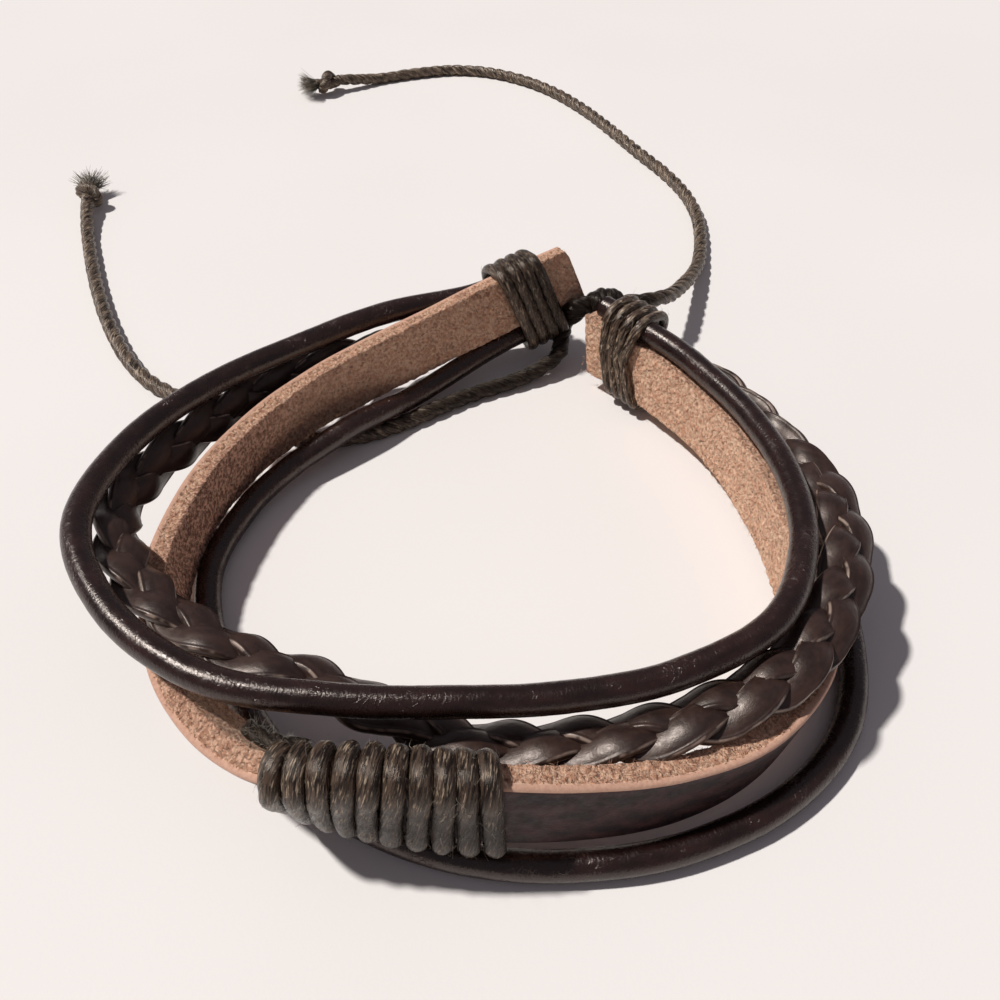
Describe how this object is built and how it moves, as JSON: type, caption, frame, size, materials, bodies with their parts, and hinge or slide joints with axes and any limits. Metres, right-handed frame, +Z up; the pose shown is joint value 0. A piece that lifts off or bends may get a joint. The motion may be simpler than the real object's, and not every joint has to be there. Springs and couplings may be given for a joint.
{
  "type": "braided leather bracelet",
  "caption": "Leather bracelet of a flat suede-lined strap, a flat braid and round cords, bound with waxed cord and closed by a knot with knotted tails, lying open.",
  "frame": {"origin": "middle of the bracelet's outline on the surface that it lies on, measured without the free tails and their knots", "axes": "+Z up from the surface, +Y towards the closure at the back, +X to the wearer's right in the reference view, millimetres in the source and metres here"},
  "size_m": [0.1032, 0.1639, 0.0148],
  "materials": {
    "strap_suede": "suede inside, dark grained leather outside",
    "round_leather": "glossy with a fine crackle",
    "braid_leather": "satin, folded strips",
    "waxed_cord": "waxed, fibrous and twisted"
  },
  "bodies": {
    "root": {"flat_strap": "strap_suede", "round_cord_upper": "round_leather", "round_cord_lower": "round_leather", "braid_strand_a": "braid_leather", "braid_strand_b": "braid_leather", "braid_strand_c": "braid_leather", "front_wrap": "waxed_cord", "left_binding": "waxed_cord", "right_binding": "waxed_cord", "closure_cord_left": "waxed_cord", "closure_cord_right": "waxed_cord", "closure_knot": "waxed_cord", "tail_left": "waxed_cord", "tail_left_knot": "waxed_cord", "tail_right": "waxed_cord", "tail_right_knot": "waxed_cord"}
  },
  "joints": []
}
